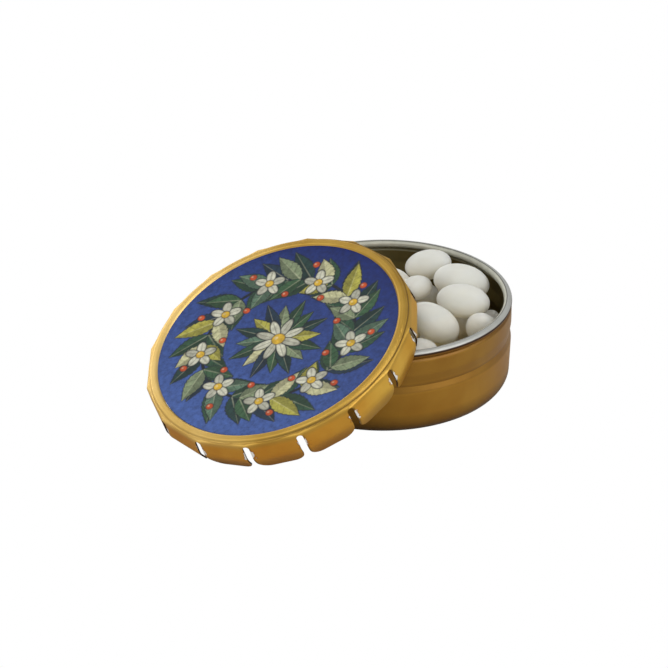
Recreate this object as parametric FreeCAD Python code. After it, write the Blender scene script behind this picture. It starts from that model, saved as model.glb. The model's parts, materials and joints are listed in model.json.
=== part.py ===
import FreeCAD, Part
import math
import os

# A round click tin for mints, open: the cup stands on its foot with mints in it, and the lid leans on it.
# Lengths are in millimetres. Z is up, the origin is the middle of the foot, the lid leans towards -X.

# Tinplate
sheet = 0.25

# Cup: how far each stretch of wall lies inside the rim, and how far below it
rim_radius = 21.8
base_height = 15.2
curl_radius = 0.7
foot_inset = 0.35
foot_rounding = 2.0
belly_inset = 0.05
belly_height_share = 0.87
belly_rounding = 1.4
waist_inset = 0.4
waist_drop = 6.4
waist_rounding = 0.5
band_inset = 0.05
band_foot_drop = 4.3
band_foot_rounding = 2.0
band_drop = 1.75
band_rounding = 0.45
neck_drop = 1.0
neck_rounding = 0.4

# Lid: the skirt clears the rim all round, and its tabs reach down to the waist when the lid is on
lid_clearance = 0.75
ledge_width = 0.3
ledge_drop = 0.12
ledge_lap = 0.2
bead_width = 1.5
bead_height = 0.34
bead_flank = 0.28
bead_rounding = 0.42
crease_rounding = 0.16
shoulder_rounding = 0.5
bulge_reach = 0.35
bulge_drop = 3.5
bulge_rounding = 3.0
tip_reach = 0.8
tab_count = 16
slot_width = 1.1
slot_drop = 0.4
tab_corner = 2.0

# Panel: the printed middle of the lid, clicked down into a shallow dish
dish_depth = 0.5
panel_gap = 0.05

# Lean: the slot that takes the rim on each side, counted from the lowest tab, how far the middle of the
# rim's curl lies below the tabs' tips there, and the gap where pieces rest on each other
lean_slot = 5
rim_drop = 0.05
rest_gap = 0.06

# Mints: sugar-coated pebbles, each its own size
mint_length = 9.8
mint_width = 7.3
mint_thickness = 6.0
mint_gap = 0.14

# Each mint: distance from the middle as a share of its room, bearing, turn, tilt, and its size as a share
mint_place_shares = [
    (0.93, 21, 110, 78, 1.00),
    (0.93, -15, 140, 80, 1.02),
    (0.57, -36, 30, 80, 0.96),
    (0.57, -83, 20, 72, 1.00),
    (0.94, -58, 34, 60, 0.88),
    (0.95, -106, -40, -8, 1.00),
    (0.99, -143, 30, 8, 1.00),
    (0.99, 180, 10, -8, 0.98),
    (0.99, 142, -30, 8, 1.00),
    (0.98, 100, 80, -8, 0.98),
    (0.87, 56, 145, 75, 1.03),
    (0.54, 5, 50, 76, 0.80),
    (0.30, 64, 60, 72, 0.98),
    (0.42, 150, 60, -8, 0.86),
    (0.99, -36, -30, -50, 0.72),
    (0.98, -57, 34, 58, 0.76),
    (0.67, 43, -20, 20, 0.88),
    (0.84, -108, 10, 12, 0.92),
    (0.62, -74, -30, 36, 1.00),
    (0.56, 11, 20, 10, 0.70),
    (0.97, 20, -45, -12, 0.86),
    (0.99, -12, -40, 12, 1.02),
    (0.86, -41, -38, 10, 0.95),
]

# How much longer than needed a cutting shape is
overrun = 2.0
# Lengths below this count as nothing where a line meets an arc
join_tolerance = 1e-6
# Steps across a mint when the height of its seat is looked for, and halvings when the lean is
seat_steps = 60
lean_halvings = 40
lean_search_degrees = (8.0, 70.0)
# Where the tabs are probed for mints: across a tab, and down it
probe_across_shares = (-0.9, -0.45, 0, 0.45, 0.9)
probe_down_shares = (0.4, 0.6, 0.8, 1)

os.makedirs("parts", exist_ok=True)
along_x = FreeCAD.Vector(1, 0, 0)
along_y = FreeCAD.Vector(0, 1, 0)
up = FreeCAD.Vector(0, 0, 1)
middle = FreeCAD.Vector(0, 0, 0)


def section_point(corner):
    """A corner (radius, height, rounding) of a section, as a point of the XZ plane."""
    return FreeCAD.Vector(corner[0], 0, corner[1])


def path_edges(corners):
    """Straight runs between the corners, with a tangent arc at each corner that has a rounding."""
    edges = []
    start = section_point(corners[0])
    for before, here, after in zip(corners, corners[1:], corners[2:]):
        corner = section_point(here)
        back = (section_point(before) - corner).normalize()
        ahead = (section_point(after) - corner).normalize()
        half_angle = back.getAngle(ahead) / 2
        inward = (back + ahead).normalize()
        trim = here[2] / math.tan(half_angle)
        centre = corner + inward * (here[2] / math.sin(half_angle))
        arc_start = corner + back * trim
        arc_end = corner + ahead * trim
        if start.distanceToPoint(arc_start) > join_tolerance:
            edges.append(Part.LineSegment(start, arc_start).toShape())
        edges.append(Part.Arc(arc_start, centre - inward * here[2], arc_end).toShape())
        start = arc_end
    end = section_point(corners[-1])
    if start.distanceToPoint(end) > join_tolerance:
        edges.append(Part.LineSegment(start, end).toShape())
    return edges


def right_of(corners, gap):
    """The parallel path that lies the gap away on the right-hand side."""
    points = [section_point(corner) for corner in corners]
    directions = [(after - before).normalize() for before, after in zip(points, points[1:])]
    shifted = []
    for index, (radius, height, rounding) in enumerate(corners):
        before = directions[max(index - 1, 0)]
        after = directions[min(index, len(directions) - 1)]
        scale = gap / (1 + before.dot(after))
        turn = math.copysign(1, before.x * after.z - before.z * after.x)
        shifted.append((radius + (before.z + after.z) * scale,
                        height - (before.x + after.x) * scale,
                        rounding + turn * gap))
    return shifted


def sheet_section(corners):
    """The section of a sheet whose left-hand face follows the corners."""
    other = right_of(corners, sheet)
    edges = path_edges(corners) + path_edges(other)
    for end in (0, -1):
        edges.append(Part.LineSegment(section_point(corners[end]), section_point(other[end])).toShape())
    return Part.Face(Part.Wire(Part.__sortEdges__(edges)))


def turned(section):
    """A section turned once round the Z axis."""
    return section.revolve(middle, up, 360)


# Sizes that follow from the driving ones
mouth_radius = rim_radius - 2 * curl_radius
curl_circle = rim_radius - curl_radius
curl_height = base_height - curl_radius
skirt_radius = rim_radius + lid_clearance + sheet
crease_radius = skirt_radius - ledge_width
ring_radius = crease_radius - bead_width
panel_radius = ring_radius - panel_gap
waist_height = base_height - waist_drop
belly_height = belly_height_share * waist_height
skirt_depth = waist_drop
bulge_radius = skirt_radius + bulge_reach
tip_radius = skirt_radius - tip_reach
tab_angle = 360 / tab_count


def tin_base():
    """The cup: drawn from one sheet, with a belly, a waist for the tabs and a rim curled outwards."""
    foot_wall = rim_radius - foot_inset - sheet
    belly = rim_radius - belly_inset - sheet
    waist = rim_radius - waist_inset - sheet
    band = rim_radius - band_inset - sheet
    band_foot = base_height - band_foot_drop
    curl_foot = base_height - 2 * curl_radius
    inside = [
        (0, sheet, 0),
        (foot_wall, sheet, foot_rounding - sheet),
        (belly, belly_height, belly_rounding),
        (waist, waist_height, waist_rounding),
        (band, band_foot, band_foot_rounding),
        (band, base_height - band_drop, band_rounding),
        (mouth_radius, base_height - neck_drop, neck_rounding),
        (mouth_radius, base_height, curl_radius),
        (rim_radius, base_height, curl_radius),
        (rim_radius, curl_foot, curl_radius),
        (curl_circle, curl_foot, 0),
    ]
    return turned(sheet_section(inside))


def lid_tab():
    """One tab with its share of the shoulder: a flat facet that swells out and curls in at its tip."""
    outside = [
        (crease_radius - shoulder_rounding, -ledge_drop, 0),
        (skirt_radius, -ledge_drop, shoulder_rounding),
        (bulge_radius, -bulge_drop, bulge_rounding),
        (tip_radius, -skirt_depth, 0),
    ]
    reach = bulge_radius + overrun
    half_width = reach * math.tan(math.radians(tab_angle / 2))
    facet = sheet_section(outside)
    facet.translate(FreeCAD.Vector(0, -half_width, 0))
    facet = facet.extrude(FreeCAD.Vector(0, 2 * half_width, 0))
    wedge_foot = -skirt_depth - overrun
    corners = [(0, 0), (reach, -half_width), (reach, half_width), (0, 0)]
    outline = Part.makePolygon([FreeCAD.Vector(x, y, wedge_foot) for x, y in corners])
    wedge = Part.Face(outline).extrude(FreeCAD.Vector(0, 0, -wedge_foot))
    return facet.common(wedge)


def slot_cutter():
    """The gap between two tabs: round at the top, and flared at the foot by the tabs' round corners."""
    half = slot_width / 2
    flare = half + tab_corner
    bend = tab_corner * math.sqrt(0.5)
    top = -slot_drop
    neck = -skirt_depth + tab_corner
    foot = -skirt_depth
    end = foot - overrun
    depth = ring_radius

    def at(y, z):
        return FreeCAD.Vector(depth, y, z)

    edges = [Part.Arc(at(-half, top - half), at(0, top), at(half, top - half)).toShape()]
    for side in (-1, 1):
        bend_point = at(side * (flare - bend), neck - bend)
        edges.append(Part.LineSegment(at(side * half, top - half), at(side * half, neck)).toShape())
        edges.append(Part.Arc(at(side * half, neck), bend_point, at(side * flare, foot)).toShape())
        edges.append(Part.LineSegment(at(side * flare, foot), at(side * flare, end)).toShape())
    edges.append(Part.LineSegment(at(-flare, end), at(flare, end)).toShape())
    outline = Part.Face(Part.Wire(Part.__sortEdges__(edges)))
    return outline.extrude(FreeCAD.Vector(bulge_radius + overrun - depth, 0, 0))


def around(shape, first_angle):
    """Copies of a shape, one for each tab, turned round the Z axis from the first angle."""
    copies = []
    for index in range(tab_count):
        copy = shape.copy()
        copy.rotate(middle, up, first_angle + index * tab_angle)
        copies.append(copy)
    return copies


def lid_shell():
    """The lid's raised bead and its skirt of tabs, in the lid's own frame."""
    bead_inner = ring_radius + bead_flank
    bead_outer = crease_radius - bead_flank
    crown = [
        (ring_radius, 0, 0),
        (bead_inner, bead_height, bead_rounding),
        (bead_outer, bead_height, bead_rounding),
        (crease_radius, -ledge_drop, crease_rounding),
        (crease_radius + ledge_lap, -ledge_drop, 0),
    ]
    tabs = around(lid_tab(), 0)
    skirt = tabs[0].multiFuse(tabs[1:])
    core_foot = FreeCAD.Vector(0, 0, -overrun)
    core = Part.makeCylinder(crease_radius, 2 * overrun, core_foot)
    shell = skirt.cut(core).fuse(turned(sheet_section(crown)))
    return shell.cut(Part.makeCompound(around(slot_cutter(), tab_angle / 2))).removeSplitter()


def click_panel():
    """The dished panel, in the lid's own frame."""
    dish_radius = (panel_radius ** 2 + dish_depth ** 2) / (2 * dish_depth)
    half_radius = panel_radius / 2
    half_way = dish_radius - dish_depth - math.sqrt(dish_radius ** 2 - half_radius ** 2)
    edges = []
    for drop in (0, sheet):
        edges.append(Part.Arc(FreeCAD.Vector(0, 0, -dish_depth - drop),
                              FreeCAD.Vector(half_radius, 0, half_way - drop),
                              FreeCAD.Vector(panel_radius, 0, -drop)).toShape())
    for radius, height in ((0, -dish_depth), (panel_radius, 0)):
        edges.append(Part.LineSegment(FreeCAD.Vector(radius, 0, height),
                                      FreeCAD.Vector(radius, 0, height - sheet)).toShape())
    return turned(Part.Face(Part.Wire(Part.__sortEdges__(edges))))


def lid_place(angle):
    """The lid at a lean: how far its middle lies from the cup's axis, how high, and the rim's depth in it.

    The lowest tab stands on the floor, and the rim runs through the middle of a slot on each side. The
    depth is measured down the slot, from the lid's plane to the middle of the rim's curl.
    """
    slot_bearing = math.radians((lean_slot + 0.5) * tab_angle)
    slot_circle = (tip_radius + skirt_radius) / 2 / math.cos(math.radians(tab_angle / 2))
    uphill = -slot_circle * math.cos(slot_bearing)
    across = slot_circle * math.sin(slot_bearing)
    height = tip_radius * math.sin(angle) + skirt_depth * math.cos(angle) + rest_gap
    depth = (height + uphill * math.sin(angle) - curl_height) / math.cos(angle)
    along_rim = math.sqrt(curl_circle ** 2 - across ** 2)
    distance = along_rim + uphill * math.cos(angle) + depth * math.sin(angle)
    return distance, height, depth


def tab_probes():
    """Points spread over the inside of the tabs, in the lid's own frame."""
    half_width = skirt_radius * math.tan(math.radians(tab_angle / 2))
    probes = []
    for share in probe_down_shares:
        row = FreeCAD.Vector(tip_radius - sheet, 0, -share * skirt_depth)
        for across in probe_across_shares:
            probes.append(row + along_y * (across * half_width))
    turns = [FreeCAD.Rotation(up, index * tab_angle) for index in range(tab_count)]
    return [turn.multVec(probe) for turn in turns for probe in probes]


def spare_room(angle, mints, probes):
    """What a lean leaves at the tightest place: rim in the slots, panel over rim, tabs over mints."""
    distance, height, depth = lid_place(angle)
    above_curl = (distance - curl_circle) * math.sin(angle) + (height - curl_height) * math.cos(angle)
    rooms = [depth - skirt_depth - rim_drop, above_curl - curl_radius - dish_depth - sheet - rest_gap]
    lid_turn = FreeCAD.Rotation(along_y, -math.degrees(angle))
    lid_middle = FreeCAD.Vector(-distance, 0, height)
    for probe in probes:
        place = lid_middle + lid_turn.multVec(probe)
        rooms.extend(mint.room_at(place) for mint in mints)
    return min(rooms)


def lean_angle(mints):
    """The least lean that leaves room everywhere."""
    low, high = (math.radians(degrees) for degrees in lean_search_degrees)
    probes = tab_probes()
    for _ in range(lean_halvings):
        guess = (low + high) / 2
        if spare_room(guess, mints, probes) < 0:
            low = guess
        else:
            high = guess
    return high


class Mint:
    """A pebble at its place: half sizes, bare and with half the gap, its turn, and where it settles."""

    def __init__(self, room_share, bearing, turn, tilt, size_share):
        self.half = [size_share * size / 2 for size in (mint_length, mint_width, mint_thickness)]
        self.cleared = [half + mint_gap / 2 for half in self.half]
        turning = FreeCAD.Rotation(up, turn)
        tilting = FreeCAD.Rotation(along_y, tilt)
        self.rotation = turning.multiply(tilting)
        self.axes = [self.rotation.multVec(unit) for unit in (along_x, along_y, up)]
        outward = FreeCAD.Vector(math.cos(math.radians(bearing)), math.sin(math.radians(bearing)), 0)
        place = outward * (room_share * (mouth_radius - self.reach(outward)))
        self.x = place.x
        self.y = place.y
        self.z = 0

    def reach(self, direction):
        """How far the cleared pebble reaches from its middle in a direction."""
        parts = [axis.dot(direction) * half for axis, half in zip(self.axes, self.cleared)]
        return math.sqrt(sum(part ** 2 for part in parts))

    def room_at(self, place):
        """About how far a point lies outside the cleared pebble, negative inside it."""
        offset = place - FreeCAD.Vector(self.x, self.y, self.z)
        scaled = [axis.dot(offset) / half for axis, half in zip(self.axes, self.cleared)]
        return (math.sqrt(sum(part ** 2 for part in scaled)) - 1) * self.cleared[-1]

    def form(self, i, j):
        """One entry of the matrix of the cleared pebble's surface."""
        return sum(axis[i] * axis[j] / half ** 2 for axis, half in zip(self.axes, self.cleared))

    def measure(self):
        """Keep what the heights of the surface are worked out from."""
        self.xx = self.form(0, 0)
        self.xy = self.form(0, 1)
        self.yy = self.form(1, 1)
        self.xz = self.form(0, 2)
        self.yz = self.form(1, 2)
        self.zz = self.form(2, 2)

    def heights(self, x, y):
        """The lowest and highest point over a place in plan, from the pebble's middle, or None."""
        dx = x - self.x
        dy = y - self.y
        lean = self.xz * dx + self.yz * dy
        rest = self.xx * dx * dx + 2 * self.xy * dx * dy + self.yy * dy * dy - 1
        inside = lean * lean - self.zz * rest
        if inside < 0:
            return None
        root = math.sqrt(inside)
        return (-lean - root) / self.zz, (-lean + root) / self.zz

    def seat(self, below):
        """Let the pebble down until it meets the floor of the cup or a pebble below."""
        self.measure()
        self.z = sheet + self.reach(up)
        span = self.cleared[0]
        for other in below:
            if math.hypot(other.x - self.x, other.y - self.y) > span + other.cleared[0]:
                continue
            for row in range(seat_steps + 1):
                for column in range(seat_steps + 1):
                    x = self.x + span * (2 * row / seat_steps - 1)
                    y = self.y + span * (2 * column / seat_steps - 1)
                    mine = self.heights(x, y)
                    theirs = other.heights(x, y)
                    if mine and theirs:
                        self.z = max(self.z, other.z + theirs[1] - mine[0])

    def solid(self):
        """The pebble as a solid at its seat."""
        matrix = FreeCAD.Matrix()
        matrix.scale(1, self.half[1] / self.half[0], self.half[2] / self.half[0])
        pebble = Part.makeSphere(self.half[0]).transformGeometry(matrix)
        pebble.Placement = FreeCAD.Placement(FreeCAD.Vector(self.x, self.y, self.z), self.rotation)
        return pebble


def settled_mints():
    """All the mints, let down one after another."""
    mints = []
    for place in mint_place_shares:
        mint = Mint(*place)
        mint.seat(mints)
        mints.append(mint)
    return mints


mints = settled_mints()
lean = lean_angle(mints)
lid_distance, lid_height, rim_depth = lid_place(lean)
lid_turn = FreeCAD.Rotation(along_y, -math.degrees(lean))
lid_placement = FreeCAD.Placement(FreeCAD.Vector(-lid_distance, 0, lid_height), lid_turn)

pieces = {"tin_base": tin_base(), "lid_shell": lid_shell(), "click_panel": click_panel()}
for name in ("lid_shell", "click_panel"):
    pieces[name].Placement = lid_placement
for number, mint in enumerate(mints, 1):
    pieces[f"mint_{number:02d}"] = mint.solid()

for name, shape in pieces.items():
    shape.exportStep(f"parts/{name}.step")
print("lean", math.degrees(lean), "lid middle", -lid_distance, lid_height)
print("normal", lid_turn.multVec(up), "rim below the tips", rim_depth - skirt_depth)
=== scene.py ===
import json
import math
from collections import namedtuple

import bpy
import numpy as np
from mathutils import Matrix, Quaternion, Vector, noise

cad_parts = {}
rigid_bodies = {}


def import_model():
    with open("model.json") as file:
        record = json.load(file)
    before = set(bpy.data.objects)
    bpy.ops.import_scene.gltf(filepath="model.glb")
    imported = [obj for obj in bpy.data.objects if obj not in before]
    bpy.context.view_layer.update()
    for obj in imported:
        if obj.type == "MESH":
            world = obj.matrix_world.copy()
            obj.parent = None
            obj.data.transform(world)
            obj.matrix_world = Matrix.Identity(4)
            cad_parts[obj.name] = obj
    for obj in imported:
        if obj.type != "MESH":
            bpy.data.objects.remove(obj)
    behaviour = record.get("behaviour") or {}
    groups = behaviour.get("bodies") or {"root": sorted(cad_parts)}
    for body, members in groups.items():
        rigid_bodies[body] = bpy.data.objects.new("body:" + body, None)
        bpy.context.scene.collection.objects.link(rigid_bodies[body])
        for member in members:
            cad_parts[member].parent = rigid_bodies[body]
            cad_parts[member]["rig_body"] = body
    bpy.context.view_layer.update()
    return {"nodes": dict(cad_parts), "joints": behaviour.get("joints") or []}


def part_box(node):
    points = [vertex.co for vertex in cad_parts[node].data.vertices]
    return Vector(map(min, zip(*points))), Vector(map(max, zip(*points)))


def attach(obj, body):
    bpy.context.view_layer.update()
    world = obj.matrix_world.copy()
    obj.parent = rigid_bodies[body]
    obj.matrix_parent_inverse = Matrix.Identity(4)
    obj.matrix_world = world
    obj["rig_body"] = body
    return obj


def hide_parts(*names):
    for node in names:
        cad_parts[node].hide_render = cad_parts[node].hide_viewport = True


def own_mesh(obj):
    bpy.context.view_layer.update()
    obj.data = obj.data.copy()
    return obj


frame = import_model()

# Lengths are in metres, in the frame of the CAD model: the cup's axis is Z, and the lid leans towards -X
mm = 0.001
along_x = Vector((1, 0, 0))
along_y = Vector((0, 1, 0))
up = Vector((0, 0, 1))
cup_middle = Vector((0, 0, 0))
full_turn = 2 * math.pi

# Camera, as fitted to the photograph: angles in degrees, lens and sensor in millimetres
camera_azimuth = -40.26
camera_elevation = 27.83
camera_roll = -0.75
camera_distance = 414.3 * mm
camera_target = Vector((-6.37, 5.57, 7.54)) * mm
camera_lens = 130.53
camera_sensor = 36.0
camera_nearest = 0.01
camera_farthest = 10

# Studio: the floor, and how strongly the white surroundings light the tin
floor_size = 4
floor_drop = 0.02 * mm
floor_grey = (0.5, 0.5, 0.5, 1)
studio_white = (1, 1, 1, 1)
studio_strength = 0.52

# Lights: azimuth and elevation in degrees from the tin, distance and size in metres, and power in watts
SoftBox = namedtuple("SoftBox", "name azimuth elevation distance size power")
soft_boxes = (
    SoftBox("key_light", azimuth=-75, elevation=60, distance=0.5, size=0.5, power=0.8),
    SoftBox("fill_light", azimuth=15, elevation=30, distance=0.6, size=0.5, power=1.7),
    SoftBox("side_light", azimuth=-105, elevation=22, distance=0.6, size=0.5, power=0.6),
    SoftBox("backdrop_light", azimuth=172, elevation=10, distance=0.8, size=0.8, power=2.8),
)

# Cup: the rolled rim, how far below it the lining starts, and what counts as the bottom
curl_radius = 0.7 * mm
curl_slack = 0.03 * mm
lining_drop = 1.3 * mm
bottom_slack = 0.1 * mm
bottom_facing = -0.7

# Lid: its skirt of tabs, the depths that part crown, slots and tabs, and how the cut edges face
tab_count = 16
tab_angle = full_turn / tab_count
skirt_depth = 6.4 * mm
crown_depth = 1.5 * mm
crown_radius = 22.2 * mm
slot_depth = 0.4 * mm
tip_edge = 0.35 * mm
tip_facing = -0.9
edge_facing = 0.45

# Mints: how fine their mesh is, and how far the pebbles fall short of a true ellipsoid
pebble_detail = 5
pebble_dent_share = 0.035
pebble_dent_scale = 0.9

# Printed panel: the rings and spokes of its mesh, the rings of its face to one underneath, and its sheet
print_rings = 150
print_spokes = 720
under_step = 10
print_sheet = 0.25 * mm
edge_slack = 0.01 * mm

# Finishes: how metallic, how smooth and rough by a noise of some scale, and a fine grain with its own scale
Finish = namedtuple("Finish", "metal scale smooth rough grain grain_scale")
lacquer_finish = Finish(metal=0.85, scale=1.2, smooth=0.4, rough=0.5, grain=0.25, grain_scale=9.0)
tinplate_finish = Finish(metal=0.95, scale=1.5, smooth=0.26, rough=0.36, grain=0.2, grain_scale=7.0)
rim_finish = Finish(metal=0.6, scale=1.5, smooth=0.42, rough=0.54, grain=0.25, grain_scale=7.0)
lining_finish = Finish(metal=0.9, scale=1.5, smooth=0.3, rough=0.42, grain=0.2, grain_scale=7.0)
cut_finish = Finish(metal=0.7, scale=3.0, smooth=0.3, rough=0.5, grain=0.4, grain_scale=8.0)
sugar_finish = Finish(metal=0.0, scale=0.8, smooth=0.45, rough=0.6, grain=0.2, grain_scale=3.0)
print_finish = Finish(metal=0.0, scale=1.5, smooth=0.36, rough=0.46, grain=0.1, grain_scale=6.0)
grain_height = 0.02 * mm
grain_detail = 2.0

# Finishes: what else a surface needs, by the names of its inputs
lacquer_coat = {"Coat Weight": 0.3, "Coat Roughness": 0.35}
lid_coat = {**lacquer_coat, "Specular Tint": (0.96, 0.82, 0.54, 1.0)}
sugar_depth = {"Subsurface Weight": 1.0, "Subsurface Scale": 8 * mm, "Subsurface Radius": (1.0, 0.95, 0.85),
               "Specular IOR Level": 0.3}
print_varnish = {"Specular IOR Level": 0.25}

# Sockets of a node that mixes colours: its two colours and its result
mix_first = 6
mix_second = 7
mix_result = 2

# Noise: its usual detail and roughness, and the spans of its values that are used
noise_detail = 3.0
noise_roughness = 0.5
middle_range = (0.3, 0.7)
whole_range = (0.0, 1.0)

# Mottling: features of the noise per millimetre, with the detail or the span of values of some
mottle_detail = 4.0
lacquer_mottle = 0.15
tinplate_mottle = 0.3
rim_mottle = 0.6
lining_mottle = 0.25
cut_mottle = 1.2
cut_range = (0.52, 0.8)
sugar_mottle = 0.35
sugar_detail = 3.0
speckle_scale = 1.1
speckle_detail = 5.0
speckle_roughness = 0.65
speckle_levels = (0.55, 1.1)

# Tones are levels from 0 to 255 on a screen, and a pair of them is mottled together
shadow_tone = (58, 32, 10)
cup_tones = ((171, 119, 30), (189, 140, 45))
bead_tones = ((176, 136, 50), (196, 158, 68))
# The bead's tones under a painted highlight, used towards one side of the lid
highlight_bead_tones = ((230, 192, 106), (244, 210, 136))
tab_tones = ((206, 138, 36), (222, 162, 54))
# The tabs' tones under painted light, used towards the other side of the lid
lit_tab_tones = ((214, 160, 52), (231, 186, 76))
# Painted shade towards the tabs' tips
tip_shade_tone = (122, 66, 22)
burnt_tone = (150, 70, 20)
# Bare metal beside the slots, painted near white as a glint
chip_glint_tone = (236, 234, 228)
tinplate_tones = ((190, 190, 184), (210, 210, 204))
# Painted light and shade: the rim's lit outer flank and its shaded inner flank
lit_outer_rim_tones = ((168, 169, 164), (194, 195, 190))
shaded_inner_rim_tones = ((156, 156, 142), (188, 187, 174))
# Painted shade in the roll's crease
roll_crease_shade_tone = (40, 38, 32)
# Lacquer under the roll, in a darker tone as painted shade
shaded_rim_lacquer_tone = (146, 102, 34)
lining_tones = ((112, 102, 66), (136, 124, 84))
bare_lining_tone = (178, 178, 164)
# Cut edges: painted shade, with bright spots of bare metal
shaded_cut_tones = ((78, 48, 22), (214, 208, 196))
sugar_tones = ((199, 199, 190), (211, 212, 205))
# Painted bounce light on the mints down in the heap, warmer and then deeper
bounce_lit_sugar_tone = (250, 241, 220)
deep_bounce_sugar_tone = (242, 224, 188)

# Painted shade on the cup's lacquer, with heights in millimetres: round the waist, under the rim and at the
# foot
waist_height = 8.9
waist_half = 0.05
waist_blur = 0.6
waist_shade = 0.35
shoulder_height = 8.25
shoulder_half = 0.4
shoulder_blur = 0.3
shoulder_shade = 0.33
upper_heights = (8.8, 9.8)
upper_shade = 0.2
under_rim_heights = (13.2, 13.5)
under_rim_shade = 0.6
foot_heights = (0, 3.7)
foot_shade = 0.95

# Painted light and shade on the rolled rim, in millimetres: lit outer and shaded inner flanks, painted shade
# in its crease, a painted shadow line and darker lacquer underneath
roll_crease_radius = 20.93
roll_crease_half = 0.06
roll_crease_blur = 0.06
roll_crease_shade = 0.75
lit_outer_rim_radii = (20.88, 20.98)
outside_rim_radii = (21.0, 21.1)
rim_shadow_line_heights = (14.72, 14.8)
rim_lacquer_heights = (14.35, 14.45)

# Heights in millimetres where the lining ends, and where the mints take painted bounce light, warmer and
# then deeper in tone
lining_heights = (12.9, 13.1)
bounce_light_heights = (9.5, 15.0)
deep_bounce_heights = (5.0, 9.5)

# Painted light and shade on the lid, in millimetres: a painted highlight on the bead and lighter tabs to the
# other side, painted shade in the bead's crease and down the tabs
lit_side_shares = (0.8, -0.6)
bead_highlight_span = (-1, 21)
lit_tab_span = (-20, -12)
bead_crease_radius = 22.55
bead_crease_half = 0.04
bead_crease_blur = 0.14
bead_crease_span = (-9, 0)
bead_crease_shade = 0.65
tab_depths = (0.1, 1.3)
# Painted shade towards the tabs' tips
tip_shade_depths = (3.5, 6.4)
tip_shade_strength = 0.5

# Chips beside the slots, which lie halfway between tabs, painted near white as glints, and the painted shade
# line along the slots, in millimetres
slot_place_share = 0.5
chip_glint_depth = 2.2
chip_glint_half = 0.7
chip_glint_blur = 0.1
chip_glint_waver = 0.35
chip_glint_waver_scale = 0.9
chip_glint_metal = 0.4
bare_glint_reach = (0.72, 0.82)
burnt_reach = (0.72, 1.07)
burnt_shade = 0.7
slot_shade_line_reach = (0.55, 0.77)
slot_shade_line_depths = (0.6, 1.0)
slot_line_shade = 0.6

# Design: its turn on the lid, its tones, and the widths of blur, outline and stem in millimetres
picture_turn = math.radians(42.3)
line_blur = 0.09
outline_width = 0.17
stem_half = 0.3
ink_tone = (24, 30, 38)
cream_tone = (214, 210, 178)
leaf_tones = ((58, 92, 62), (132, 146, 112), (176, 170, 74), (92, 120, 98), (196, 194, 150))
under_leaf_tones = ((34, 62, 58), (46, 78, 56), (30, 52, 70))
petal_tone = (206, 205, 184)
heart_tone = (214, 172, 52)
berry_tone = (192, 76, 34)
ground_dark_tone = (6, 29, 99)
ground_light_tone = (66, 94, 160)
ground_slant_share = 0.7

# Design: a leaf's teeth, dark half, veins and rib, with lengths in millimetres
leaf_taper = 0.8
leaf_teeth = 8
tooth_share = 0.14
dark_half_share = 0.62
leaf_veins = 5
vein_place_share = 0.5
vein_slant = 0.55
vein_inset = 0.2
vein_half = 0.06
vein_shade_share = 0.4
rib_half = 0.1
rib_cream_share = 0.35

# Design: a spot's outline and light, and a blossom's petals, with lengths in millimetres
spot_outline_share = 0.8
spot_light_share = 0.3
petal_width_share = 0.9
petal_place_share = 0.58
petal_length_share = 0.45
petal_shade_share = 0.25
petal_vein_inset = 0.1
petal_vein_half = 0.05
petal_vein_share = 0.5
heart_share = 0.27

# Design: the wreath, in shares of the print's reach, of its radius or of a step, with turns in radians
wreath_share = 0.63
wreath_leaf_width_share = 0.15
lean_out = 0.75
lean_in = 0.8
leaf_sway_share = 0.12
leaf_sway_turn = 2.4
inner_length_share = 0.85
inner_width_share = 0.9
outer_tone_step = 2
inner_tone_step = 3
inner_tone_start = 1
under_leaf_count = 19
under_leaf_start = 0.1
under_leaf_share = 0.34
leaf_count = 15
leaf_start = 0.0
leaf_share = 0.32
blossom_count = 9
blossom_shift_share = 0.4
blossom_place_shares = (1.03, 0.97)
blossom_share = 0.125
blossom_petals = 5
blossom_turn = 1.3
berry_count = 18
berry_shift_share = 0.1
berry_start = 0.05
berry_place_shares = (0.77, 1.25)
berry_share = 0.028

# Design: the sprig in the middle, with sizes as shares of the print's reach
sprig_count = 16
sprig_start = 0.2
sprig_place_share = 0.05
sprig_length_shares = (0.36, 0.3)
sprig_width_share = 0.12
middle_blossom_share = 0.2
middle_blossom_petals = 8
middle_blossom_turn = 0.2


def node_points(node):
    """The vertices of a CAD node, as an array."""
    mesh = frame["nodes"][node].data
    points = np.empty(len(mesh.vertices) * 3)
    mesh.vertices.foreach_get("co", points)
    return points.reshape(-1, 3)


def joint_axis(name):
    """The direction of a joint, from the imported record."""
    for joint in frame["joints"]:
        if joint["name"] == name:
            return Vector(joint["axis"]).normalized()


# The lid's own frame: its normal, its slope uphill, the level direction across it, and its middle
lid_normal = joint_axis("lid_lift")
lid_across = along_y
lid_uphill = lid_across.cross(lid_normal).normalized()
panel_points = node_points("click_panel")
panel_heights = panel_points @ np.array(lid_normal)
edge_points = panel_points[panel_heights > panel_heights.max() - edge_slack]
lid_middle = Vector(edge_points.mean(axis=0))
panel_radius = np.linalg.norm(edge_points - np.array(lid_middle), axis=1).max()
dish_depth = panel_heights.max() - panel_heights.min() - print_sheet


def link(obj):
    """Put a new object into the scene."""
    bpy.context.scene.collection.objects.link(obj)
    return obj


def linear(red, green, blue):
    """A colour given as 0 to 255 on a screen, in the scene's linear values, by the sRGB curve."""
    values = []
    for level in (red, green, blue):
        share = level / 255
        values.append(share / 12.92 if share <= 0.04045 else ((share + 0.055) / 1.055) ** 2.4)
    return (*values, 1.0)


def direction(azimuth, elevation):
    """The way from the tin to a place at an azimuth and an elevation, in degrees."""
    turn = math.radians(azimuth)
    rise = math.radians(elevation)
    return Vector((math.sin(turn) * math.cos(rise), -math.cos(turn) * math.cos(rise), math.sin(rise)))


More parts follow.
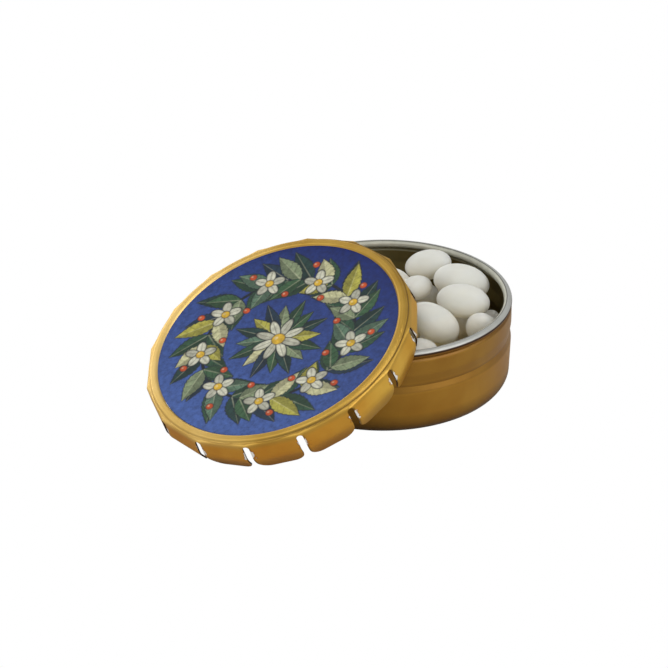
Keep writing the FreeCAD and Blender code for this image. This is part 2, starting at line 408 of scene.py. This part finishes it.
class Nodes:
    """A short way to write a material's nodes."""

    def __init__(self, name):
        self.material = bpy.data.materials.new(name)
        self.material.use_nodes = True
        self.tree = self.material.node_tree
        self.tree.nodes.clear()

    def add(self, kind, **values):
        """A new node with some of its properties set."""
        node = self.tree.nodes.new(kind)
        for key, value in values.items():
            setattr(node, key, value)
        return node

    def wire(self, source, target):
        """A link from one socket to another."""
        self.tree.links.new(source, target)

    def noise(self, scale, detail=noise_detail, roughness=noise_roughness):
        """Noise on the object's own coordinates, with the scale in features per millimetre."""
        place = self.add("ShaderNodeTexCoord")
        texture = self.add("ShaderNodeTexNoise")
        texture.inputs["Scale"].default_value = scale / mm
        texture.inputs["Detail"].default_value = detail
        texture.inputs["Roughness"].default_value = roughness
        self.wire(place.outputs["Object"], texture.inputs["Vector"])
        return texture.outputs["Fac"]

    def between(self, value, low, high, span=whole_range):
        """A value that runs over a span, mapped to low to high."""
        node = self.add("ShaderNodeMapRange")
        node.inputs["From Min"].default_value = span[0]
        node.inputs["From Max"].default_value = span[1]
        node.inputs["To Min"].default_value = low
        node.inputs["To Max"].default_value = high
        self.wire(value, node.inputs["Value"])
        return node.outputs["Result"]

    def rise(self, value, span, top=1.0):
        """Nothing before a span, growing over it to a top."""
        return self.between(value, 0, top, span)

    def fall(self, value, span, top=1.0):
        """A top before a span, shrinking over it to nothing."""
        return self.between(value, top, 0, span)

    def calculate(self, operation, *values):
        """The result of an operation on values and sockets."""
        node = self.add("ShaderNodeMath", operation=operation)
        for socket, value in zip(node.inputs, values):
            if isinstance(value, (int, float)):
                socket.default_value = value
            else:
                self.wire(value, socket)
        return node.outputs["Value"]

    def product(self, first, second):
        """Two values multiplied."""
        return self.calculate("MULTIPLY", first, second)

    def apart(self, first, second):
        """How far two values lie apart."""
        return self.calculate("ABSOLUTE", self.calculate("SUBTRACT", first, second))

    def most(self, first, *others):
        """The largest of some values."""
        for other in others:
            first = self.calculate("MAXIMUM", first, other)
        return first

    def along(self, way, origin):
        """How far a point of the object lies from an origin in a direction, in millimetres."""
        place = self.add("ShaderNodeTexCoord")
        offset = self.add("ShaderNodeVectorMath", operation="SUBTRACT")
        offset.inputs[1].default_value = origin
        self.wire(place.outputs["Object"], offset.inputs[0])
        dot = self.add("ShaderNodeVectorMath", operation="DOT_PRODUCT")
        dot.inputs[1].default_value = way
        self.wire(offset.outputs["Vector"], dot.inputs[0])
        return self.calculate("DIVIDE", dot.outputs["Value"], mm)

    def height(self):
        """The height over the floor, in millimetres."""
        return self.along(up, cup_middle)

    def from_axis(self, first, second):
        """How far a point lies from an axis, from its places along two directions."""
        squares = self.calculate("ADD", self.product(first, first), self.product(second, second))
        return self.calculate("SQRT", squares)

    def band(self, value, middle, half, blur, top=1.0):
        """A top where a value lies within half a width of a middle, fading to nothing over a blur."""
        return self.fall(self.apart(value, middle), (half, half + blur), top)

    def blend(self, factor, first, second):
        """Two colours, each a tone or a socket, mixed by a factor."""
        node = self.add("ShaderNodeMix", data_type="RGBA")
        self.wire(factor, node.inputs["Factor"])
        for socket, colour in ((mix_first, first), (mix_second, second)):
            if isinstance(colour, tuple):
                node.inputs[socket].default_value = linear(*colour)
            else:
                self.wire(colour, node.inputs[socket])
        return node.outputs[mix_result]

    def mottle(self, tones, scale, span=whole_range, detail=mottle_detail):
        """A pair of tones mixed by noise."""
        return self.blend(self.rise(self.noise(scale, detail), span), *tones)

    def finish(self, colour, finish, metal=None, settings=None):
        """A principled surface with a fine grain, and with a metal of its own where one is given."""
        surface = self.add("ShaderNodeBsdfPrincipled")
        for name, value in (settings or {}).items():
            surface.inputs[name].default_value = value
        surface.inputs["Metallic"].default_value = finish.metal
        if metal is not None:
            self.wire(metal, surface.inputs["Metallic"])
        roughness = self.between(self.noise(finish.scale), finish.smooth, finish.rough)
        self.wire(colour, surface.inputs["Base Color"])
        self.wire(roughness, surface.inputs["Roughness"])
        bump = self.add("ShaderNodeBump")
        bump.inputs["Strength"].default_value = finish.grain
        bump.inputs["Distance"].default_value = grain_height
        self.wire(self.noise(finish.grain_scale, grain_detail), bump.inputs["Height"])
        self.wire(bump.outputs["Normal"], surface.inputs["Normal"])
        output = self.add("ShaderNodeOutputMaterial")
        self.wire(surface.outputs["BSDF"], output.inputs["Surface"])
        return self.material


def lacquer(nodes, tones):
    """Gold lacquer, uneven between two tones."""
    return nodes.mottle(tones, lacquer_mottle, middle_range)


def cup_lacquer():
    """The cup's lacquer, with painted shade at the waist's crease and above it, on the belly's shoulder,
    under the rim and at the foot.
    """
    nodes = Nodes("cup_lacquer_satin")
    height = nodes.height()
    # Painted shade: in the waist's crease, on the belly's shoulder below it, on the wall above it, under the
    # rim and at the foot
    waist = nodes.band(height, waist_height, waist_half, waist_blur, waist_shade)
    shoulder = nodes.band(height, shoulder_height, shoulder_half, shoulder_blur, shoulder_shade)
    upper = nodes.rise(height, upper_heights, upper_shade)
    under = nodes.rise(height, under_rim_heights, under_rim_shade)
    foot = nodes.fall(height, foot_heights, foot_shade)
    dark = nodes.most(waist, shoulder, upper, under, foot)
    colour = nodes.blend(dark, lacquer(nodes, cup_tones), shadow_tone)
    return nodes.finish(colour, lacquer_finish, settings=lacquer_coat)


def beside_slot(nodes, uphill, across, radius):
    """How far a point lies round the lid from the middle of the nearest slot, in millimetres."""
    tabs = nodes.calculate("DIVIDE", nodes.calculate("ARCTAN2", across, uphill), tab_angle)
    from_slot = nodes.apart(nodes.calculate("FRACT", tabs), slot_place_share)
    return nodes.product(nodes.product(from_slot, tab_angle), radius)


def lid_gold(nodes, radius, depth):
    """The lid's lacquer before any chips: the bead with a painted highlight to one side and painted shade in
    its crease, and the tabs, lighter as painted light to the other side, with painted shade towards their
    tips.
    """
    # A painted highlight on the bead towards one side, and lighter tabs towards the other
    across_share, uphill_share = lit_side_shares
    side = nodes.along(across_share * lid_across + uphill_share * lid_uphill, lid_middle)
    plain_bead = lacquer(nodes, bead_tones)
    bead = nodes.blend(nodes.rise(side, bead_highlight_span), plain_bead, lacquer(nodes, highlight_bead_tones))
    # Painted shade in the bead's crease
    crease = nodes.band(radius, bead_crease_radius, bead_crease_half, bead_crease_blur)
    dark = nodes.product(crease, nodes.fall(side, bead_crease_span, bead_crease_shade))
    creased = nodes.blend(dark, bead, shadow_tone)
    # The tabs lighter towards the other side, as painted light
    plain_tabs = lacquer(nodes, tab_tones)
    tabs = nodes.blend(nodes.fall(side, lit_tab_span), plain_tabs, lacquer(nodes, lit_tab_tones))
    gold = nodes.blend(nodes.rise(depth, tab_depths), creased, tabs)
    # Painted shade towards the tabs' tips
    return nodes.blend(nodes.rise(depth, tip_shade_depths, tip_shade_strength), gold, tip_shade_tone)


def lid_lacquer():
    """The lid's lacquer, with painted shade along the slots, and chipped beside them to bare metal painted
    near white as a glint, with burnt edges.
    """
    nodes = Nodes("lid_lacquer_chipped_and_painted_light")
    uphill = nodes.along(lid_uphill, lid_middle)
    across = nodes.along(lid_across, lid_middle)
    radius = nodes.from_axis(uphill, across)
    depth = nodes.along(-lid_normal, lid_middle)
    beside = beside_slot(nodes, uphill, across, radius)
    waver = nodes.between(nodes.noise(chip_glint_waver_scale), -chip_glint_waver, chip_glint_waver, middle_range)
    away = nodes.calculate("ADD", beside, waver)
    chipped = nodes.band(nodes.calculate("ADD", depth, waver), chip_glint_depth, chip_glint_half, chip_glint_blur)
    # Bare metal beside the slots, painted near white as a glint
    bare = nodes.product(nodes.fall(away, bare_glint_reach), chipped)
    burnt = nodes.product(nodes.fall(away, burnt_reach, burnt_shade), chipped)
    edged = nodes.blend(burnt, lid_gold(nodes, radius, depth), burnt_tone)
    # A painted shade line along the slots
    slot_shade_line = nodes.fall(beside, slot_shade_line_reach, slot_line_shade)
    lined = nodes.blend(nodes.product(slot_shade_line, nodes.rise(depth, slot_shade_line_depths)), edged, shadow_tone)
    colour = nodes.blend(bare, lined, chip_glint_tone)
    metal = nodes.between(bare, lacquer_finish.metal, chip_glint_metal)
    return nodes.finish(colour, lacquer_finish, metal=metal, settings=lid_coat)


def bright_tinplate():
    """Bare tinplate, as under the lid."""
    nodes = Nodes("bright_tinplate")
    return nodes.finish(nodes.mottle(tinplate_tones, tinplate_mottle), tinplate_finish)


def rim_tinplate():
    """The rolled rim: bare tinplate, lighter outside and darker inside as painted light and shade, with
    painted shade in the crease where the roll closes, a painted shadow line, and lacquer below it darkened
    as painted shade.
    """
    nodes = Nodes("rim_tinplate")
    height = nodes.height()
    radius = nodes.from_axis(nodes.along(along_x, cup_middle), nodes.along(along_y, cup_middle))
    # Painted light and shade: the outer flank lighter, the inner flank darker
    inner = nodes.mottle(shaded_inner_rim_tones, rim_mottle)
    outer = nodes.mottle(lit_outer_rim_tones, rim_mottle)
    plate = nodes.blend(nodes.rise(radius, lit_outer_rim_radii), inner, outer)
    # Painted shade in the crease where the roll closes
    crease = nodes.band(radius, roll_crease_radius, roll_crease_half, roll_crease_blur, roll_crease_shade)
    creased = nodes.blend(crease, plate, roll_crease_shade_tone)
    outside = nodes.rise(radius, outside_rim_radii)
    # A painted shadow line under the roll
    lined = nodes.blend(nodes.product(outside, nodes.fall(height, rim_shadow_line_heights)), creased, shadow_tone)
    # Lacquer on the lower roll, in a darker tone as painted shade
    lacquered = nodes.product(outside, nodes.fall(height, rim_lacquer_heights))
    colour = nodes.blend(lacquered, lined, shaded_rim_lacquer_tone)
    metal = nodes.between(lacquered, rim_finish.metal, lacquer_finish.metal)
    return nodes.finish(colour, rim_finish, metal=metal)


def dull_lining():
    """The dull varnish inside the cup, which ends in paler metal a little below the rim."""
    nodes = Nodes("dull_lining")
    varnish = nodes.mottle(lining_tones, lining_mottle)
    colour = nodes.blend(nodes.rise(nodes.height(), lining_heights), varnish, bare_lining_tone)
    return nodes.finish(colour, lining_finish)


def cut_tinplate():
    """The sheared edges of the tabs: dark as painted shade, with bright spots of bare metal."""
    nodes = Nodes("cut_tinplate")
    return nodes.finish(nodes.mottle(shaded_cut_tones, cut_mottle, cut_range), cut_finish)


def sugar_shell():
    """The mints' hard, smooth sugar, paler and warmer down in the heap as painted bounce light from the
    lining.
    """
    nodes = Nodes("sugar_shell_satin")
    height = nodes.height()
    white = nodes.mottle(sugar_tones, sugar_mottle, detail=sugar_detail)
    # Painted bounce light: paler and warmer down in the heap
    bounce_lit = nodes.blend(nodes.fall(height, deep_bounce_heights), bounce_lit_sugar_tone, deep_bounce_sugar_tone)
    colour = nodes.blend(nodes.fall(height, bounce_light_heights), white, bounce_lit)
    return nodes.finish(colour, sugar_finish, settings=sugar_depth)


def printed_blue():
    """The printed panel: the design's colours, speckled, under a clear varnish."""
    nodes = Nodes("printed_design")
    attribute = nodes.add("ShaderNodeAttribute", attribute_name="design")
    speckled = nodes.add("ShaderNodeMix", data_type="RGBA", blend_type="MULTIPLY")
    speckled.inputs["Factor"].default_value = 1.0
    speckle = nodes.noise(speckle_scale, speckle_detail, speckle_roughness)
    nodes.wire(attribute.outputs["Color"], speckled.inputs[mix_first])
    nodes.wire(nodes.between(speckle, *speckle_levels, middle_range), speckled.inputs[mix_second])
    return nodes.finish(speckled.outputs[mix_result], print_finish, settings=print_varnish)


def face_arrays(mesh):
    """The middles and normals of a mesh's faces."""
    middles = np.empty(len(mesh.polygons) * 3)
    normals = np.empty(len(mesh.polygons) * 3)
    mesh.polygons.foreach_get("center", middles)
    mesh.polygons.foreach_get("normal", normals)
    return middles.reshape(-1, 3), normals.reshape(-1, 3)


def paint(node, materials, choice):
    """Give a CAD node its materials, with one of them chosen for each face."""
    mesh = frame["nodes"][node].data
    mesh.materials.clear()
    for material in materials:
        mesh.materials.append(material)
    mesh.polygons.foreach_set("material_index", choice.astype(np.int32))
    mesh.update()


def paint_cup(lacquered, rolled, lined):
    """Lacquer outside and underneath, a dull lining inside, and bare tinplate on the rolled rim."""
    middles, normals = face_arrays(frame["nodes"]["tin_base"].data)
    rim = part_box("tin_base")[1]
    radius = np.hypot(middles[:, 0], middles[:, 1])
    height = middles[:, 2]
    outward = (middles[:, :2] * normals[:, :2]).sum(axis=1) / np.maximum(radius, mm)
    bottom = (normals[:, 2] < bottom_facing) & (height < bottom_slack)
    outside = (outward > 0) | bottom
    from_curl = np.hypot(radius - (rim.x - curl_radius), height - (rim.z - curl_radius))
    in_curl = (from_curl < curl_radius + curl_slack) | (~outside & (height > rim.z - lining_drop))
    paint("tin_base", [lacquered, rolled, lined], np.where(in_curl, 1, np.where(outside, 0, 2)))


def paint_lid(lacquered, inner, cut):
    """Lacquer outside, bare tinplate inside, and cut metal on the edges of the tabs."""
    middles, normals = face_arrays(frame["nodes"]["lid_shell"].data)
    axes = np.array([lid_uphill, lid_across, lid_normal]).T
    places = (middles - np.array(lid_middle)) @ axes
    facing = normals @ axes
    height = places[:, 2]
    tab_bearing = np.round(np.arctan2(places[:, 1], places[:, 0]) / tab_angle) * tab_angle
    outward = facing[:, 0] * np.cos(tab_bearing) + facing[:, 1] * np.sin(tab_bearing)
    sideways = facing[:, 1] * np.cos(tab_bearing) - facing[:, 0] * np.sin(tab_bearing)
    under_crown = (facing[:, 2] < 0) & (np.hypot(places[:, 0], places[:, 1]) < crown_radius)
    inside = np.where(height > -crown_depth, under_crown, outward < 0)
    at_tip = (height < tip_edge - skirt_depth) & (facing[:, 2] < tip_facing)
    edge = at_tip | ((height < -slot_depth) & (np.abs(sideways) > edge_facing))
    paint("lid_shell", [lacquered, inner, cut], np.where(edge, 2, inside))


def pebble(node, material):
    """A mint in the place of its CAD ellipsoid, with the slight dents of a real one."""
    points = node_points(node)
    middle = (points.min(axis=0) + points.max(axis=0)) / 2
    axes = np.linalg.eigh(np.cov((points - middle).T))[1]
    halves = np.abs((points - middle) @ axes).max(axis=0)
    bpy.ops.mesh.primitive_ico_sphere_add(subdivisions=pebble_detail, radius=1)
    obj = bpy.context.object
    obj.name = node + "_pebble"
    seed = Vector(middle / mm)
    for vertex in obj.data.vertices:
        way = vertex.co.normalized()
        dent = (1 + noise.noise(way * pebble_dent_scale + seed)) / 2
        local = np.array(way) * halves * (1 - pebble_dent_share * dent)
        vertex.co = Vector(axes @ local + middle)
    obj.data.polygons.foreach_set("use_smooth", [True] * len(obj.data.polygons))
    obj.data.materials.append(material)
    body = frame["nodes"][node]["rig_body"]
    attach(obj, body)
    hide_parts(node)


def pigment(tone):
    """A tone as an array of linear values, which can be shaded and mixed."""
    return np.array(linear(*tone)[:3])


class Picture:
    """Colours at points of the print, painted over one after another.

    The points lie to the right and high up in the picture as the photograph sees it, in millimetres.
    """

    def __init__(self, right, high, reach):
        self.right = right
        self.high = high
        self.ink = pigment(ink_tone)
        self.cream = pigment(cream_tone)
        light = pigment(ground_light_tone)
        share = (1 + ground_slant_share * (right + high) / reach) / 2
        self.colours = light + share[:, None] * (pigment(ground_dark_tone) - light)

    def lay(self, distance, colour):
        """Paint where the distance to an edge is negative."""
        cover = np.clip((1 - distance / line_blur) / 2, 0, 1)
        self.colours += cover[:, None] * (colour - self.colours)

    def local(self, at, angle):
        """The points along and across a direction, from a place."""
        right = self.right - at[0]
        high = self.high - at[1]
        along = right * math.cos(angle) + high * math.sin(angle)
        across = high * math.cos(angle) - right * math.sin(angle)
        return along, across

    def leaf(self, at, angle, length, width, tone):
        """A toothed leaf with veins and a pale rib, darker on one side."""
        colour = pigment(tone)
        along, across = self.local(at, angle)
        share = np.clip(along / length, 0, 1)
        teeth = 1 - tooth_share * ((share * leaf_teeth) % 1)
        half = width / 2 * np.sin(math.pi * share ** leaf_taper) * teeth
        beyond = np.maximum(along - length, -along)
        edge = np.maximum(np.abs(across) - half, beyond)
        self.lay(edge - outline_width, self.ink)
        self.lay(edge, colour)
        self.lay(np.maximum(edge, -across), colour * dark_half_share)
        vein_turns = (share * leaf_veins - vein_slant * np.abs(across)) % 1
        veins = np.abs(vein_turns - vein_place_share) * length / leaf_veins
        self.lay(np.maximum(edge + vein_inset, veins - vein_half), colour * vein_shade_share)
        rib = np.abs(across) - rib_half * (1 - share)
        self.lay(np.maximum(edge, rib), (1 - rib_cream_share) * colour + rib_cream_share * self.cream)

    def spot(self, at, radius, tone):
        """A spot with a dark outline and a light side."""
        colour = pigment(tone)
        light_radius = spot_light_share * radius
        distance = np.hypot(self.right - at[0], self.high - at[1]) - radius
        self.lay(distance - outline_width * spot_outline_share, self.ink)
        self.lay(distance, colour)
        light = np.hypot(self.right - at[0] + light_radius, self.high - at[1] - light_radius)
        self.lay(light - light_radius, (colour + self.cream) / 2)

    def blossom(self, at, radius, petals, turn):
        """A ring of pale petals round a yellow heart."""
        colour = pigment(petal_tone)
        half = petal_width_share * math.pi * radius / petals / 2
        for index in range(petals):
            along, across = self.local(at, turn + index * full_turn / petals)
            outward = (along - petal_place_share * radius) / (petal_length_share * radius)
            edge = (np.hypot(outward, across / half) - 1) * half
            vein = np.abs(across) - petal_vein_half * (1 + along / radius)
            self.lay(edge - outline_width, self.ink)
            self.lay(edge, colour * (1 - petal_shade_share * (index % 2)))
            self.lay(np.maximum(edge + petal_vein_inset, vein), colour * petal_vein_share)
        self.spot(at, heart_share * radius, heart_tone)


def ring_place(radius, angle):
    """A place of the picture at a distance and a bearing from its middle."""
    return radius * math.cos(angle), radius * math.sin(angle)


def leaf_ring(picture, radius, count, start, length, width, tones):
    """Pairs of leaves along a ring, one leaning out and one leaning in at each place."""
    for index in range(count):
        angle = start + index * full_turn / count
        tangent = angle + full_turn / 4
        long = length * (1 + leaf_sway_share * math.sin(index * leaf_sway_turn))
        at = ring_place(radius, angle)
        outer_tone = tones[(index * outer_tone_step) % len(tones)]
        inner_tone = tones[(index * inner_tone_step + inner_tone_start) % len(tones)]
        picture.leaf(at, tangent - lean_out, long, width, outer_tone)
        picture.leaf(at, tangent + lean_in, inner_length_share * long, inner_width_share * width, inner_tone)


def draw_wreath(picture, reach):
    """A wreath of mint leaves in two layers, with blossoms and berries."""
    radius = wreath_share * reach
    width = wreath_leaf_width_share * reach
    picture.lay(np.abs(np.hypot(picture.right, picture.high) - radius) - stem_half, picture.ink)
    under_length = under_leaf_share * reach
    length = leaf_share * reach
    leaf_ring(picture, radius, under_leaf_count, under_leaf_start, under_length, width, under_leaf_tones)
    leaf_ring(picture, radius, leaf_count, leaf_start, length, width, leaf_tones)
    for index in range(blossom_count):
        angle = (index + blossom_shift_share) * full_turn / blossom_count
        at = ring_place(radius * blossom_place_shares[index % 2], angle)
        picture.blossom(at, blossom_share * reach, blossom_petals, index * blossom_turn)
    for index in range(berry_count):
        angle = (index + berry_shift_share * (index % 2)) * full_turn / berry_count + berry_start
        at = ring_place(radius * berry_place_shares[index % 2], angle)
        picture.spot(at, berry_share * reach, berry_tone)


def draw_sprig(picture, reach):
    """A star of leaves in the middle, dark and pale in turn, with a blossom on it."""
    for index in range(sprig_count):
        angle = index * full_turn / sprig_count + sprig_start
        tones = leaf_tones if index % 2 else under_leaf_tones
        tone = tones[(index // 2) % len(tones)]
        at = ring_place(sprig_place_share * reach, angle)
        picture.leaf(at, angle, sprig_length_shares[index % 2] * reach, sprig_width_share * reach, tone)
    picture.blossom((0, 0), middle_blossom_share * reach, middle_blossom_petals, middle_blossom_turn)


def dish_height(radius):
    """How high the dished panel's face lies at a radius, from the plane of its edge."""
    sphere = (panel_radius ** 2 + dish_depth ** 2) / (2 * dish_depth)
    return sphere - dish_depth - math.sqrt(sphere ** 2 - radius ** 2)


def sheet_rows():
    """The rings of the panel's sheet, out over its face and back under it, as radius and drop."""
    radii = [panel_radius * ring / print_rings for ring in range(1, print_rings + 1)]
    under = radii[under_step - 1::under_step]
    return [(radius, 0) for radius in radii] + [(radius, print_sheet) for radius in reversed(under)]


def sheet_places(rows):
    """The sheet's points from its middle: how far uphill, how far across and how high."""
    turns = np.arange(print_spokes) * full_turn / print_spokes
    places = [[(0, 0, dish_height(0))]]
    for radius, drop in rows:
        height = np.full(print_spokes, dish_height(radius) - drop)
        places.append(np.stack([radius * np.cos(turns), radius * np.sin(turns), height], axis=1))
    places.append([(0, 0, dish_height(0) - print_sheet)])
    return np.concatenate(places).T


def sheet_faces(row_count):
    """The faces between the rings, with a fan at the middle above and below."""
    last_ring = 1 + (row_count - 1) * print_spokes
    last_point = last_ring + print_spokes
    faces = []
    for spoke in range(print_spokes):
        after = (spoke + 1) % print_spokes
        faces.append((0, 1 + spoke, 1 + after))
        for here in range(1, last_ring, print_spokes):
            beyond = here + print_spokes
            faces.append((here + spoke, beyond + spoke, beyond + after, here + after))
        faces.append((last_point, last_ring + after, last_ring + spoke))
    return faces


def design_colours(uphill, across):
    """The design's colour at each point of the sheet."""
    right = (uphill * math.cos(picture_turn) - across * math.sin(picture_turn)) / mm
    high = (uphill * math.sin(picture_turn) + across * math.cos(picture_turn)) / mm
    reach = panel_radius / mm
    picture = Picture(right, high, reach)
    draw_wreath(picture, reach)
    draw_sprig(picture, reach)
    return np.column_stack([picture.colours, np.ones(len(right))])


def printed_panel(printed, tinplate):
    """The clicked panel as one dished sheet, with the design as a colour at each point."""
    rows = sheet_rows()
    uphill, across, height = sheet_places(rows)
    faces = sheet_faces(len(rows))
    on_slope = np.outer(uphill, lid_uphill) + np.outer(across, lid_across)
    points = np.array(lid_middle) + on_slope + np.outer(height, lid_normal)
    mesh = bpy.data.meshes.new("printed_panel")
    mesh.from_pydata(points.tolist(), [], faces)
    mesh.materials.append(printed)
    mesh.materials.append(tinplate)
    under = np.array([face[-1] > print_rings * print_spokes for face in faces])
    mesh.polygons.foreach_set("material_index", under.astype(np.int32))
    mesh.polygons.foreach_set("use_smooth", [True] * len(faces))
    attribute = mesh.color_attributes.new("design", "FLOAT_COLOR", "POINT")
    attribute.data.foreach_set("color", design_colours(uphill, across).ravel())
    panel = link(bpy.data.objects.new("printed_panel", mesh))
    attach(panel, "panel")
    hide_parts("click_panel")
    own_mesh(panel)


def white_for_camera(tree, plain, white, output_kind):
    """End a node tree so that the camera sees white, and all other rays meet the plain shader."""
    path = tree.nodes.new("ShaderNodeLightPath")
    choose = tree.nodes.new("ShaderNodeMixShader")
    output = tree.nodes.new(output_kind)
    tree.links.new(path.outputs["Is Camera Ray"], choose.inputs[0])
    tree.links.new(plain.outputs[0], choose.inputs[1])
    tree.links.new(white.outputs[0], choose.inputs[2])
    tree.links.new(choose.outputs[0], output.inputs["Surface"])


def studio_floor():
    """A grey floor that the camera sees as pure white."""
    bpy.ops.mesh.primitive_plane_add(size=floor_size, location=(0, 0, -floor_drop))
    floor = bpy.context.object
    floor.name = "studio_floor"
    nodes = Nodes("studio_floor_white")
    plain = nodes.add("ShaderNodeBsdfDiffuse")
    plain.inputs["Color"].default_value = floor_grey
    white = nodes.add("ShaderNodeEmission")
    white_for_camera(nodes.tree, plain, white, "ShaderNodeOutputMaterial")
    floor.data.materials.append(nodes.material)


def studio_world():
    """Dim white surroundings that the camera sees as pure white."""
    world = bpy.data.worlds.new("studio")
    bpy.context.scene.world = world
    world.use_nodes = True
    tree = world.node_tree
    tree.nodes.clear()
    dim = tree.nodes.new("ShaderNodeBackground")
    dim.inputs["Color"].default_value = studio_white
    dim.inputs["Strength"].default_value = studio_strength
    white = tree.nodes.new("ShaderNodeBackground")
    white.inputs["Color"].default_value = studio_white
    white_for_camera(tree, dim, white, "ShaderNodeOutputWorld")


def soft_box(box):
    """A square studio light aimed at the tin."""
    data = bpy.data.lights.new(box.name, "AREA")
    data.size = box.size
    data.energy = box.power
    light = link(bpy.data.objects.new(box.name, data))
    way = direction(box.azimuth, box.elevation)
    light.location = camera_target + way * box.distance
    light.rotation_euler = way.to_track_quat("Z", "Y").to_euler()


def photo_camera():
    """The camera where the photograph was taken from."""
    data = bpy.data.cameras.new("photo_camera")
    data.lens = camera_lens
    data.sensor_width = camera_sensor
    data.clip_start = camera_nearest
    data.clip_end = camera_farthest
    camera = link(bpy.data.objects.new("photo_camera", data))
    back = direction(camera_azimuth, camera_elevation)
    camera.location = camera_target + back * camera_distance
    roll = Quaternion(up, math.radians(camera_roll))
    camera.rotation_euler = (back.to_track_quat("Z", "Y") @ roll).to_euler()
    bpy.context.scene.camera = camera


bpy.context.scene.view_settings.view_transform = "Standard"
photo_camera()
studio_floor()
studio_world()
for box in soft_boxes:
    soft_box(box)

plain_tinplate = bright_tinplate()
paint_cup(cup_lacquer(), rim_tinplate(), dull_lining())
paint_lid(lid_lacquer(), plain_tinplate, cut_tinplate())
printed_panel(printed_blue(), plain_tinplate)
sugar = sugar_shell()
for node in sorted(frame["nodes"]):
    if node.startswith("mint_"):
        pebble(node, sugar)
